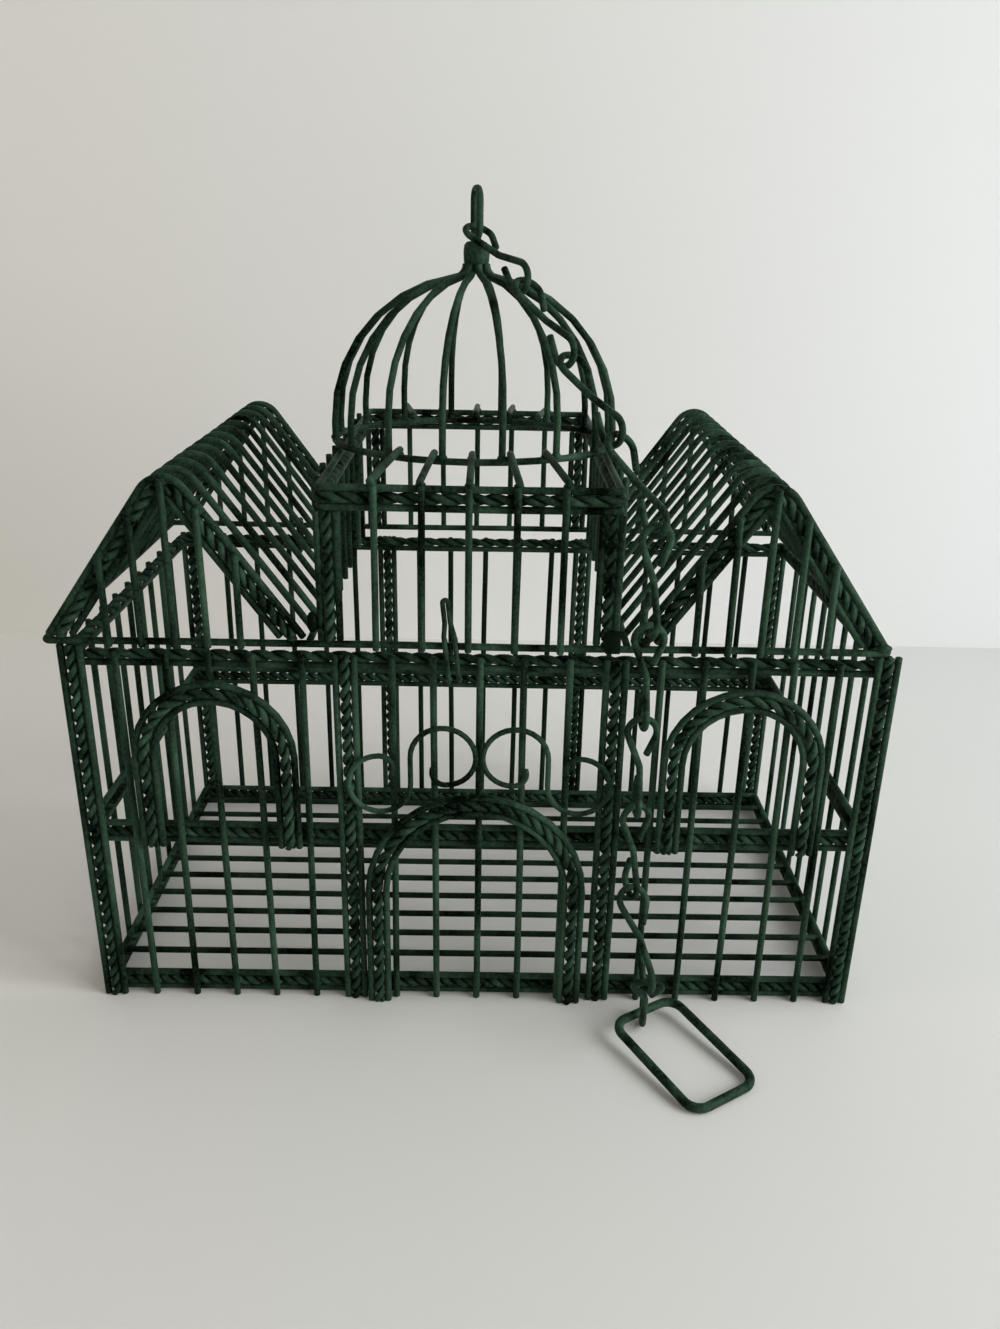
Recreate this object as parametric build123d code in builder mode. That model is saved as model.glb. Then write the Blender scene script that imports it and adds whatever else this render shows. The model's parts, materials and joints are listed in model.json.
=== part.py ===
from build123d import *
import os
from math import acos, asin, cos, degrees, hypot, radians, sin, sqrt, tan

os.makedirs("parts", exist_ok=True)

# Wire diameters, mm
wire = 2.6
rope = 3.4  # two thin strands twisted together
scroll_wire = 1.9
hinge_wire = 2.0
latch_wire = 1.8
link_wire = 2.4
ring_wire = 3.2
moving_gap = 0.3  # between pieces that turn on each other

# Box
hoop_width = 293.0  # between the centre lines of the hoops' sides
hoop_depth = 153.2
hoop_bend = 2.5
bottom_hoop_z = 5.0
middle_hoop_z = 73.2
top_hoop_z = 145.3
mid_post_span = 96.0
panel_bars = 5  # in each of the three front and three back panels
side_bars = 9
floor_count = 10

# Arches and scrolls on the front
window_radius = 28.7
window_spring_z = 107.4
window_foot_z = 69.8
door_x = -1.0
door_spring_z = 51.8
door_gap = 1.16  # from the arch to the mid posts, on average
scroll_lift = 4.8  # from the top of the door arch to the upper curls
scroll_stem = 11.0
scroll_low_radius = 11.4
scroll_eye_radius = 5.0
scroll_gap = 2.8  # between the two scrolls
scroll_tuck = 0.9  # by which an upper curl tightens after its top

# Lid, roofs and tower
lid_shift = -4.4  # of the lid, to the left of the box's middle
lid_rise = 6.2  # from the top hoop to the lid's base wire
lid_side_overhang = 1.1
lid_end_overhang = 3.9
hinge_inset = 6.0  # from the middle of an outer panel
roof_pitch = 54.5  # degrees
gable_bend = 9.0
gable_bar_pitch = 11.4
roof_wire_count = 11  # on each roof, between its gables
tower_top_z = 207.0
fan_spread = 16.5  # pitch of the fan wires' outer ends
fan_turn = 14.5  # degrees round the dome ring, from one fan wire to the next
fan_overhang = 2.5
fan_tip = 2.0  # length past the dome ring

# Dome and finial
dome_overhang = 3.9  # of the dome ring past the tower's side rails
dome_depth = 90.4  # of the dome ring, between its centre lines
dome_y = -4.0
rib_leg = 5.4  # upright part of the ribs at the dome's sides
rib_count = 16
rib_offset = 0.8  # from the dome's axis to the middle of a rib's arc
rib_turn = 82.0  # degrees, before every other rib flares up into the neck
neck_radius = 4.9
neck_height = 8.0
finial_width = 9.8
finial_height = 16.5
finial_bend = 4.0
finial_turn = 14.0  # degrees, from facing sideways

# Latch
latch_x = -9.5
latch_half_width = 1.8
latch_coil_radius = 2.65
latch_finger = 18.5
latch_release = 14.0  # degrees, from hooked to the place where it is drawn

# Chain and hanging ring
link_half = 19.0  # from the middle of a link to the centre line of its end
link_eye_radius = 5.15
link_cut = 0.6  # share of the leg that is left at an eye's cut end
hook_side = 1.5  # from the finial to the first link's end wire
hook_front = 1.0
hook_rise = 0.9
drape_dips = (30.0, 41.5, 41.5)  # degrees, of the links that lie over the dome
hang_side = 11.2  # the chain hangs out from the corner of the tower
hang_out = 8.8
link_gap = 0.6  # slack where two links hang in each other
plumb_headings = (-73.0, -87.0, -90.0, -72.0)  # degrees, the way each hanging link faces
kink_reach = 24.0  # of the last but one link, out from the hanging ones
kink_heading = -77.0  # degrees
return_heading = -97.0  # degrees, the way the last link faces
ring_heading = -58.5  # degrees
ring_width = 29.5
ring_length = 48.0
ring_bend = 6.0
ring_lift = 5.5

# A wire's section is a hexagon of the round wire's area
corner_share = 0.55
face_share = corner_share * cos(radians(30))
wire_tip = wire * corner_share
wire_face = wire * face_share
rope_tip = rope * corner_share
rope_face = rope * face_share
scroll_face = scroll_wire * face_share
hinge_tip = hinge_wire * corner_share
latch_tip = latch_wire * corner_share
link_tip = link_wire * corner_share
ring_tip = ring_wire * corner_share
ring_face = ring_wire * face_share
lay = wire_tip + rope_tip  # from a band's rope to the wire beside it

# Places in the box
hoop_x = hoop_width / 2
hoop_y = hoop_depth / 2
bar_x = hoop_x + rope_face + wire_face
bar_y = hoop_y + rope_face + wire_face
post_y = hoop_y + 2 * rope_face
corner_post_x = hoop_x - hoop_bend
mid_post_x = mid_post_span / 2
panel_x = (corner_post_x + mid_post_x) / 2
door_radius = mid_post_x - lay - 2 * wire_tip - door_gap
top_wire_z = top_hoop_z - lay

# Places in the lid
lid_z = top_hoop_z + lid_rise
base_x = hoop_x + lid_side_overhang
base_y = hoop_y + lid_end_overhang
band_y = base_y + wire / 2 - rope_face
lid_bar_y = base_y + wire / 2 + wire_face
tower_x = mid_post_x + hoop_bend
tower_bar_x = tower_x + rope_face + wire_face
valley_x = tower_bar_x + wire_face + wire / 2
gable_x = (base_x + valley_x) / 2
gable_half = (base_x - valley_x) / 2
ring_z = tower_top_z + 2 * wire_tip
dome_radius = tower_x + dome_overhang
dome_y_radius = dome_depth / 2

# Tops of the uprights: the lid rests on the front corners and swings clear of the back
corner_post_top = lid_z - wire / 2 - moving_gap
bar_top = top_hoop_z + rope_face
back_top = lid_z - hypot(wire / 2 + 2 * wire_face, wire / 2) - 2 * moving_gap


def arc(x, y, radius, first, last, turn):
    """Corners of the chords that touch an arc from outside, each turning by about the given angle."""
    corners = max(1, round(abs(last - first) / turn))
    step = radians(last - first) / corners
    angles = [radians(first) + step * (k + 0.5) for k in range(corners)]
    reach = radius / cos(step / 2)
    return [(x + reach * cos(angle), y + reach * sin(angle)) for angle in angles]


def curl(start, radii, angles, turn):
    """Points from the start along arcs that run on into each other, to the end of the last one."""
    points = [start]
    x, y = start
    for radius, first, last in zip(radii, angles, angles[1:]):
        x -= radius * cos(radians(first))
        y -= radius * sin(radians(first))
        points += arc(x, y, radius, first, last, turn)
        x += radius * cos(radians(last))
        y += radius * sin(radians(last))
    return points + [(x, y)]


def rounded_loop(half_x, half_y, bend, turn):
    """Points round a rectangle with bent corners."""
    x = half_x - bend
    y = half_y - bend
    points = arc(x, -y, bend, -90, 0, turn)
    points += arc(x, y, bend, 0, 90, turn)
    points += arc(-x, y, bend, 90, 180, turn)
    points += arc(-x, -y, bend, 180, 270, turn)
    return points


def spaced(low, high, count):
    """Even places between two ends, without the ends."""
    return [low + (high - low) * k / (count + 1) for k in range(1, count + 1)]


def bent_wire(points, size, flat, closed=False):
    """One wire along the points, with two of its faces square to the flat direction."""
    corners = [Vector(point) for point in points]
    if closed:
        corners.insert(0, (corners[0] + corners[-1]) / 2)
    with BuildLine() as run:
        Polyline(*corners, close=closed)
    ahead = corners[1] - corners[0]
    with BuildSketch(Plane(corners[0], x_dir=Vector(flat).cross(ahead), z_dir=ahead)) as section:
        RegularPolygon(size * corner_share, 6)
    sweep(section.sketch, run.line, transition=Transition.RIGHT)


def upright_bars(places, size, low, high, turn=0):
    """Straight bars standing at the places."""
    with BuildSketch(Plane.XY.offset(low)) as section:
        with Locations(*places):
            RegularPolygon(size * corner_share, 6, rotation=turn)
    extrude(section.sketch, amount=high - low)


def level_hoop(half_x, half_y, z, size, shift=0):
    """A hoop lying level round the box or the tower."""
    points = [(x + shift, y, z) for x, y in rounded_loop(half_x, half_y, hoop_bend, 45)]
    bent_wire(points, size, (0, 1, 0), closed=True)


def arch(x, radius, spring_z, foot_z, y, size):
    """A round arch on two straight legs."""
    points = [(x + radius, y, foot_z)]
    points += [(px, y, pz) for px, pz in arc(x, spring_z, radius, 0, 180, 20)]
    points += [(x - radius, y, foot_z)]
    bent_wire(points, size, (0, 1, 0))


def gable(x, y, inset, size, foot_height):
    """A wire bent over a ridge, set in from the gable's outer line."""
    slope = radians(roof_pitch)
    centre_z = lid_z + gable_half * tan(slope) - gable_bend / cos(slope)
    foot = gable_half - inset / sin(slope) - foot_height / tan(slope)
    points = [(x - foot, y, lid_z + foot_height)]
    crown = arc(x, centre_z, gable_bend - inset, 90 + roof_pitch, 90 - roof_pitch, 36)
    points += [(px, y, pz) for px, pz in crown]
    points += [(x + foot, y, lid_z + foot_height)]
    bent_wire(points, size, (0, 1, 0))


# Bottom, middle and top hoops
with BuildPart() as bottom_hoop_wires:
    for step in (-1, 1):
        level_hoop(hoop_x, hoop_y, bottom_hoop_z + step * lay, wire)
bottom_hoop_wires.part.label = "bottom_hoop_wires"
export_step(bottom_hoop_wires.part, "parts/bottom_hoop_wires.step")

with BuildPart() as bottom_hoop_rope:
    level_hoop(hoop_x, hoop_y, bottom_hoop_z, rope)
bottom_hoop_rope.part.label = "bottom_hoop_rope"
export_step(bottom_hoop_rope.part, "parts/bottom_hoop_rope.step")

with BuildPart() as middle_hoop_wires:
    for step in (-1, 1):
        level_hoop(hoop_x, hoop_y, middle_hoop_z + step * lay, wire)
middle_hoop_wires.part.label = "middle_hoop_wires"
export_step(middle_hoop_wires.part, "parts/middle_hoop_wires.step")

with BuildPart() as middle_hoop_rope:
    level_hoop(hoop_x, hoop_y, middle_hoop_z, rope)
middle_hoop_rope.part.label = "middle_hoop_rope"
export_step(middle_hoop_rope.part, "parts/middle_hoop_rope.step")

with BuildPart() as top_hoop_wire:
    level_hoop(hoop_x, hoop_y, top_wire_z, wire)
top_hoop_wire.part.label = "top_hoop_wire"
export_step(top_hoop_wire.part, "parts/top_hoop_wire.step")

with BuildPart() as top_hoop_rope:
    level_hoop(hoop_x, hoop_y, top_hoop_z, rope)
top_hoop_rope.part.label = "top_hoop_rope"
export_step(top_hoop_rope.part, "parts/top_hoop_rope.step")

# Posts: a rope between two wires, tall at the front corners and short at the back
with BuildPart() as corner_post_wires:
    for y, top in ((-post_y, corner_post_top), (post_y, back_top)):
        places = [(side * corner_post_x + step * lay, y) for side in (-1, 1) for step in (-1, 1)]
        upright_bars(places, wire, 0, top)
corner_post_wires.part.label = "corner_post_wires"
export_step(corner_post_wires.part, "parts/corner_post_wires.step")

with BuildPart() as corner_post_ropes:
    for y, top in ((-post_y, corner_post_top), (post_y, back_top)):
        upright_bars([(-corner_post_x, y), (corner_post_x, y)], rope, 0, top)
corner_post_ropes.part.label = "corner_post_ropes"
export_step(corner_post_ropes.part, "parts/corner_post_ropes.step")

with BuildPart() as mid_post_wires:
    for y, top in ((-post_y, bar_top), (post_y, back_top)):
        places = [(side * mid_post_x + step * lay, y) for side in (-1, 1) for step in (-1, 1)]
        upright_bars(places, wire, 0, top)
mid_post_wires.part.label = "mid_post_wires"
export_step(mid_post_wires.part, "parts/mid_post_wires.step")

with BuildPart() as mid_post_ropes:
    for y, top in ((-post_y, bar_top), (post_y, back_top)):
        upright_bars([(-mid_post_x, y), (mid_post_x, y)], rope, 0, top)
mid_post_ropes.part.label = "mid_post_ropes"
export_step(mid_post_ropes.part, "parts/mid_post_ropes.step")

# Wall bars, outside the hoops
wall_bar_xs = spaced(-corner_post_x, -mid_post_x, panel_bars)
wall_bar_xs += spaced(-mid_post_x, mid_post_x, panel_bars)
wall_bar_xs += spaced(mid_post_x, corner_post_x, panel_bars)

with BuildPart() as front_bars:
    upright_bars([(x, -bar_y) for x in wall_bar_xs], wire, 0, bar_top)
front_bars.part.label = "front_bars"
export_step(front_bars.part, "parts/front_bars.step")

with BuildPart() as back_bars:
    upright_bars([(x, bar_y) for x in wall_bar_xs], wire, 0, back_top)
back_bars.part.label = "back_bars"
export_step(back_bars.part, "parts/back_bars.step")

with BuildPart() as left_bars:
    upright_bars([(-bar_x, y) for y in spaced(-hoop_y, hoop_y, side_bars)], wire, 0, bar_top, 30)
left_bars.part.label = "left_bars"
export_step(left_bars.part, "parts/left_bars.step")

with BuildPart() as right_bars:
    upright_bars([(bar_x, y) for y in spaced(-hoop_y, hoop_y, side_bars)], wire, 0, bar_top, 30)
right_bars.part.label = "right_bars"
export_step(right_bars.part, "parts/right_bars.step")

# Floor, between the sides of the bottom hoop's upper wire
floor_x = hoop_x - wire_face
with BuildPart() as floor_wires:
    with BuildSketch(Plane.YZ.offset(-floor_x)):
        with Locations(*[(y, bottom_hoop_z + lay) for y in spaced(-hoop_y, hoop_y, floor_count)]):
            RegularPolygon(wire_tip, 6)
    extrude(amount=2 * floor_x)
floor_wires.part.label = "floor_wires"
export_step(floor_wires.part, "parts/floor_wires.step")

# Arches, on the front of the bars
arch_wire_y = -(bar_y + 2 * wire_face)
arch_rope_y = -(bar_y + wire_face + rope_face)

with BuildPart() as left_window_wires:
    for inset in (0, 2 * lay):
        arch(-panel_x, window_radius - inset, window_spring_z, window_foot_z, arch_wire_y, wire)
left_window_wires.part.label = "left_window_wires"
export_step(left_window_wires.part, "parts/left_window_wires.step")

with BuildPart() as left_window_rope:
    arch(-panel_x, window_radius - lay, window_spring_z, window_foot_z, arch_rope_y, rope)
left_window_rope.part.label = "left_window_rope"
export_step(left_window_rope.part, "parts/left_window_rope.step")

with BuildPart() as right_window_wires:
    for inset in (0, 2 * lay):
        arch(panel_x, window_radius - inset, window_spring_z, window_foot_z, arch_wire_y, wire)
right_window_wires.part.label = "right_window_wires"
export_step(right_window_wires.part, "parts/right_window_wires.step")

with BuildPart() as right_window_rope:
    arch(panel_x, window_radius - lay, window_spring_z, window_foot_z, arch_rope_y, rope)
right_window_rope.part.label = "right_window_rope"
export_step(right_window_rope.part, "parts/right_window_rope.step")

with BuildPart() as door_arch_wires:
    for inset in (0, 2 * lay):
        arch(door_x, door_radius - inset, door_spring_z, 0, arch_wire_y, wire)
door_arch_wires.part.label = "door_arch_wires"
export_step(door_arch_wires.part, "parts/door_arch_wires.step")

with BuildPart() as door_arch_rope:
    arch(door_x, door_radius - lay, door_spring_z, 0, arch_rope_y, rope)
door_arch_rope.part.label = "door_arch_rope"
export_step(door_arch_rope.part, "parts/door_arch_rope.step")

# Scrolls: a curl each way from an upright stem, the lower one lying on the mid post's rope
scroll_y = -(post_y + rope_face + scroll_face)
scroll_stem_x = mid_post_x - 2 * scroll_low_radius
scroll_high_radius = (scroll_stem_x - scroll_gap / 2) / 2
scroll_inner_radius = scroll_high_radius - scroll_tuck
scroll_high_z = door_spring_z + door_radius + scroll_lift + scroll_inner_radius
scroll_low_z = scroll_high_z - scroll_stem
lower_curl = curl(
    (-scroll_stem_x, scroll_low_z), (scroll_low_radius, scroll_eye_radius), (0, -270, -390), 30
)
upper_curl = curl(
    (-scroll_stem_x, scroll_high_z),
    (scroll_high_radius, scroll_inner_radius, scroll_eye_radius),
    (180, 0, -90, -200),
    30,
)
scroll_line = lower_curl[::-1] + upper_curl

with BuildPart() as left_scroll:
    bent_wire([(x, scroll_y, z) for x, z in scroll_line], scroll_wire, (0, 1, 0))
left_scroll.part.label = "left_scroll"
export_step(left_scroll.part, "parts/left_scroll.step")

with BuildPart() as right_scroll:
    bent_wire([(-x, scroll_y, z) for x, z in scroll_line], scroll_wire, (0, 1, 0))
right_scroll.part.label = "right_scroll"
export_step(right_scroll.part, "parts/right_scroll.step")

# Hinge rings, round the back of the top hoop and of the lid's base wire
hinge_x = panel_x - hinge_inset
hinge_in_y = hoop_y - rope_face - hinge_tip
hinge_out_y = base_y + wire / 2 + moving_gap + hinge_tip
hinge_low_z = top_wire_z - wire_tip - hinge_tip
hinge_high_z = lid_z + wire / 2 + moving_gap + hinge_tip
hinge_half_y = (hinge_out_y - hinge_in_y) / 2
hinge_half_z = (hinge_high_z - hinge_low_z) / 2
hinge_line = rounded_loop(hinge_half_y, hinge_half_z, hinge_wire, 45)

with BuildPart() as hinge_rings:
    for x in (-hinge_x, hinge_x):
        bent_wire(
            [(x, hinge_in_y + hinge_half_y + y, hinge_low_z + hinge_half_z + z) for y, z in hinge_line],
            hinge_wire,
            (1, 0, 0),
            closed=True,
        )
hinge_rings.part.label = "hinge_rings"
export_step(hinge_rings.part, "parts/hinge_rings.step")

# Lid's base wire, round so that it turns in the hinge rings
with BuildPart() as lid_base_wire:
    with BuildLine() as base_line:
        Polyline(
            (lid_shift - base_x, -base_y, lid_z),
            (lid_shift + base_x, -base_y, lid_z),
            (lid_shift + base_x, base_y, lid_z),
            (lid_shift - base_x, base_y, lid_z),
            close=True,
        )
    with BuildSketch(Plane((lid_shift - base_x, -base_y, lid_z), z_dir=(1, 0, 0))):
        Circle(wire / 2)
    sweep(path=base_line.line, transition=Transition.RIGHT)
lid_base_wire.part.label = "lid_base_wire"
export_step(lid_base_wire.part, "parts/lid_base_wire.step")

# Valley wires, between the roofs and the tower
valley_end = base_y - wire / 2
with BuildPart() as valley_wires:
    with BuildSketch(Plane.XZ.offset(-valley_end)):
        with Locations((lid_shift - valley_x, lid_z), (lid_shift + valley_x, lid_z)):
            Circle(wire / 2)
    extrude(amount=2 * valley_end)
valley_wires.part.label = "valley_wires"
export_step(valley_wires.part, "parts/valley_wires.step")

# Gables: a band at each end of a roof, upright bars on its outside, roof wires between
pitch_cos = cos(radians(roof_pitch))
wire_foot = wire / 2 + wire_tip * pitch_cos
rope_foot = wire / 2 + rope_tip * pitch_cos
roof_foot = wire / 2 * sin(radians(roof_pitch))


def gable_wires(x):
    """The plain wires of both gable bands of a roof."""
    for y in (-band_y, band_y):
        for inset in (0, 2 * lay):
            gable(x, y, inset, wire, wire_foot)


def gable_ropes(x):
    """The ropes of both gable bands of a roof."""
    for y in (-band_y, band_y):
        gable(x, y, lay, rope, rope_foot)


def gable_bars(x):
    """Upright bars on both gables of a roof, up to the middle of the band's outer wire."""
    slope = radians(roof_pitch)
    crown_z = lid_z + gable_half * tan(slope) - gable_bend / cos(slope) + gable_bend
    for step in (-2, -1, 0, 1, 2):
        away = abs(step) * gable_bar_pitch
        band_z = lid_z + (gable_half - away) * tan(slope)
        places = [(x + step * gable_bar_pitch, y) for y in (-lid_bar_y, lid_bar_y)]
        upright_bars(places, wire, lid_z - wire / 2, min(band_z, crown_z))


def roof(x):
    """The wires of a roof, each bent over the ridge."""
    for y in spaced(-band_y, band_y, roof_wire_count):
        gable(x, y, 0, wire, roof_foot)


with BuildPart() as left_gable_wires:
    gable_wires(lid_shift - gable_x)
left_gable_wires.part.label = "left_gable_wires"
export_step(left_gable_wires.part, "parts/left_gable_wires.step")

with BuildPart() as left_gable_ropes:
    gable_ropes(lid_shift - gable_x)
left_gable_ropes.part.label = "left_gable_ropes"
export_step(left_gable_ropes.part, "parts/left_gable_ropes.step")

with BuildPart() as left_gable_bars:
    gable_bars(lid_shift - gable_x)
left_gable_bars.part.label = "left_gable_bars"
export_step(left_gable_bars.part, "parts/left_gable_bars.step")

with BuildPart() as left_roof_wires:
    roof(lid_shift - gable_x)
left_roof_wires.part.label = "left_roof_wires"
export_step(left_roof_wires.part, "parts/left_roof_wires.step")

with BuildPart() as right_gable_wires:
    gable_wires(lid_shift + gable_x)
right_gable_wires.part.label = "right_gable_wires"
export_step(right_gable_wires.part, "parts/right_gable_wires.step")

with BuildPart() as right_gable_ropes:
    gable_ropes(lid_shift + gable_x)
right_gable_ropes.part.label = "right_gable_ropes"
export_step(right_gable_ropes.part, "parts/right_gable_ropes.step")

with BuildPart() as right_gable_bars:
    gable_bars(lid_shift + gable_x)
right_gable_bars.part.label = "right_gable_bars"
export_step(right_gable_bars.part, "parts/right_gable_bars.step")

with BuildPart() as right_roof_wires:
    roof(lid_shift + gable_x)
right_roof_wires.part.label = "right_roof_wires"
export_step(right_roof_wires.part, "parts/right_roof_wires.step")

# Tower: posts on the base wire, a banded top frame, bars on the outside
tower_rope_z = tower_top_z - lay
tower_low_z = tower_top_z - 2 * lay
tower_post_low = lid_z + wire / 2
tower_post_top = tower_low_z - wire_tip
tower_bar_low = lid_z - wire / 2
tower_bar_top = tower_top_z + wire_tip

with BuildPart() as tower_post_wires:
    for x in (lid_shift - mid_post_x, lid_shift + mid_post_x):
        places = [(x + step * lay, y) for step in (-1, 1) for y in (-band_y, band_y)]
        upright_bars(places, wire, tower_post_low, tower_post_top)
tower_post_wires.part.label = "tower_post_wires"
export_step(tower_post_wires.part, "parts/tower_post_wires.step")

with BuildPart() as tower_post_ropes:
    for x in (lid_shift - mid_post_x, lid_shift + mid_post_x):
        upright_bars([(x, -band_y), (x, band_y)], rope, tower_post_low, tower_post_top)
tower_post_ropes.part.label = "tower_post_ropes"
export_step(tower_post_ropes.part, "parts/tower_post_ropes.step")

with BuildPart() as tower_top_wires:
    for z in (tower_low_z, tower_top_z):
        level_hoop(tower_x, band_y, z, wire, lid_shift)
tower_top_wires.part.label = "tower_top_wires"
export_step(tower_top_wires.part, "parts/tower_top_wires.step")

with BuildPart() as tower_top_rope:
    level_hoop(tower_x, band_y, tower_rope_z, rope, lid_shift)
tower_top_rope.part.label = "tower_top_rope"
export_step(tower_top_rope.part, "parts/tower_top_rope.step")

tower_bar_xs = spaced(lid_shift - mid_post_x, lid_shift + mid_post_x, panel_bars)
with BuildPart() as tower_front_bars:
    upright_bars([(x, -lid_bar_y) for x in tower_bar_xs], wire, tower_bar_low, tower_bar_top)
tower_front_bars.part.label = "tower_front_bars"
export_step(tower_front_bars.part, "parts/tower_front_bars.step")

with BuildPart() as tower_back_bars:
    upright_bars([(x, lid_bar_y) for x in tower_bar_xs], wire, tower_bar_low, tower_bar_top)
tower_back_bars.part.label = "tower_back_bars"
export_step(tower_back_bars.part, "parts/tower_back_bars.step")

with BuildPart() as tower_side_bars:
    for x in (lid_shift - tower_bar_x, lid_shift + tower_bar_x):
        places = [(x, y) for y in spaced(-band_y, band_y, side_bars)]
        upright_bars(places, wire, tower_bar_low, tower_bar_top, 30)
tower_side_bars.part.label = "tower_side_bars"
export_step(tower_side_bars.part, "parts/tower_side_bars.step")

# Dome ring, on the tower's sides
with BuildPart() as dome_ring:
    ring_line = arc(0, 0, dome_radius, -90, 270, 15)
    squash = dome_y_radius / dome_radius
    ring_points = [(lid_shift + x, dome_y + y * squash, ring_z) for x, y in ring_line]
    bent_wire(ring_points, wire, (0, 1, 0), closed=True)
dome_ring.part.label = "dome_ring"
export_step(dome_ring.part, "parts/dome_ring.step")

# Fan wires, from the tower's front and back edges up over the dome ring
fan_low_z = tower_top_z + wire_tip + wire_face
fan_high_z = ring_z + wire_tip + wire_face


def fan_wire(step, side):
    """One fan wire, counted from the middle of the dome ring's front or back."""
    angle = radians(step * fan_turn)
    outer = Vector(lid_shift + step * fan_spread, side * (band_y + fan_overhang), fan_low_z)
    over_x = lid_shift + dome_radius * sin(angle)
    over = Vector(over_x, dome_y + side * dome_y_radius * cos(angle), fan_high_z)
    inward = Vector(over.X - outer.X, over.Y - outer.Y, 0).normalized()
    bent_wire([outer, over - inward * wire, over + inward * fan_tip], wire, (0, 0, 1))


with BuildPart() as fan_wires:
    for side in (-1, 1):
        for step in (-2, -1, 0, 1, 2):
            fan_wire(step, side)
fan_wires.part.label = "fan_wires"
export_step(fan_wires.part, "parts/fan_wires.step")

# Dome ribs: upright at the ring, then rounded over; every other one flares up into the neck
rib_step = 360 / rib_count
rib_foot_z = ring_z + wire_tip
neck_gather = wire_face / sin(radians(rib_step)) + wire_tip / 2


def rib_bends(reach):
    """The radii of a rib's arc and flare, and the height of the two together."""
    radius = reach - rib_offset
    flare_start = rib_offset + radius * cos(radians(rib_turn))
    flare_radius = (flare_start - neck_gather) / (1 - cos(radians(rib_turn)))
    return radius, flare_radius, (radius + flare_radius) * sin(radians(rib_turn))


neck_low_z = rib_foot_z + rib_leg + rib_bends(dome_radius)[2]
neck_top_z = neck_low_z + neck_height


def rib_line(reach):
    """A rib's points up to the end of its arc, and those of its flare, by reach and height."""
    radius, flare_radius, rise = rib_bends(reach)
    over = curl((reach, neck_low_z - rise), (radius,), (0, rib_turn), 20.5)
    flare = curl(over[-1], (flare_radius,), (180 + rib_turn, 180), 41)
    return [(reach, rib_foot_z)] + over[1:], flare[1:]


with BuildPart() as dome_ribs:
    for k in range(rib_count):
        turn = radians(rib_step * (k + 0.5))
        foot = Vector(dome_radius * cos(turn), dome_y_radius * sin(turn))
        over, flare = rib_line(foot.length)
        outward = foot.normalized()
        points = over if k % 2 else over[:-1] + flare
        rib_points = [(lid_shift + r * outward.X, dome_y + r * outward.Y, z) for r, z in points]
        bent_wire(rib_points, wire, (-outward.Y, outward.X, 0))
dome_ribs.part.label = "dome_ribs"
export_step(dome_ribs.part, "parts/dome_ribs.step")

# Neck, on the ends of the ribs, and finial eye
with BuildPart() as dome_neck:
    with BuildSketch(Plane.XY.offset(neck_low_z)):
        with Locations((lid_shift, dome_y)):
            RegularPolygon(neck_radius, rib_count)
    extrude(amount=neck_height)
    chamfer(dome_neck.faces().sort_by(Axis.Z)[-1].edges(), wire / 2)
dome_neck.part.label = "dome_neck"
export_step(dome_neck.part, "parts/dome_neck.step")

finial_z = neck_top_z + wire_tip + finial_height / 2
with BuildPart() as finial_eye:
    eye_line = rounded_loop(finial_width / 2, finial_height / 2, finial_bend, 30)
    side = Vector(cos(radians(finial_turn)), sin(radians(finial_turn)), 0)
    eye_points = [(lid_shift - side.Y * y, dome_y + side.X * y, finial_z + z) for y, z in eye_line]
    bent_wire(eye_points, wire, side, closed=True)
finial_eye.part.label = "finial_eye"
export_step(finial_eye.part, "parts/finial_eye.step")

# Latch: a hairpin with two coils on the base wire and two feet that catch under the top hoop
latch_drop = lid_z - top_wire_z + wire_tip + moving_gap + latch_tip
latch_reach = base_y - hoop_y
latch_front = -latch_coil_radius
with BuildPart() as latch_shape:
    hairpin = [(latch_half_width, latch_front, -latch_drop - latch_tip)]
    bow = arc(0, latch_finger - latch_half_width, latch_half_width, 0, 180, 30)
    hairpin += [(x, latch_front, z) for x, z in bow]
    hairpin += [(-latch_half_width, latch_front, -latch_drop - latch_tip)]
    bent_wire(hairpin, latch_wire, (0, 1, 0))
    coil = arc(0, 0, latch_coil_radius, -180, 180, 30)
    for x in (-latch_half_width, latch_half_width):
        bent_wire([(x, y, z) for y, z in coil], latch_wire, (1, 0, 0), closed=True)
        bent_wire([(x, latch_front, -latch_drop), (x, latch_reach, -latch_drop)], latch_wire, (1, 0, 0))

latch_place = Plane((latch_x, -base_y, lid_z)).rotated((-latch_release, 0, 0))
with BuildPart() as latch:
    with Locations(latch_place.location):
        add(latch_shape.part)
latch.part.label = "latch"
export_step(latch.part, "parts/latch.step")

# Chain link: an eye at each end, set at right angles, each open beside the shank
eye_corners = 8
eye_side = degrees(acos(link_eye_radius / (link_half - link_eye_radius)))  # from the shank to a leg
eye_span = 180 - eye_side
eye_turn = 2 * eye_span / eye_corners
eye_arc = arc(0, -link_eye_radius, link_eye_radius, 90 + eye_span, 90 - eye_span, eye_turn)
shank = Vector(0, -link_half)
first_leg = Vector(*eye_arc[0])
last_leg = Vector(*eye_arc[-1])
eye_start = shank + (shank - first_leg).normalized() * link_wire / 2
eye_end = last_leg + (shank - last_leg) * link_cut
eye_line = [(eye_start.X, eye_start.Y)] + eye_arc + [(eye_end.X, eye_end.Y)]

with BuildPart() as link:
    bent_wire([(x, 0, z) for x, z in eye_line], link_wire, (0, 1, 0))
    bent_wire([(0, x, -2 * link_half - z) for x, z in eye_line], link_wire, (1, 0, 0))

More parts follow.
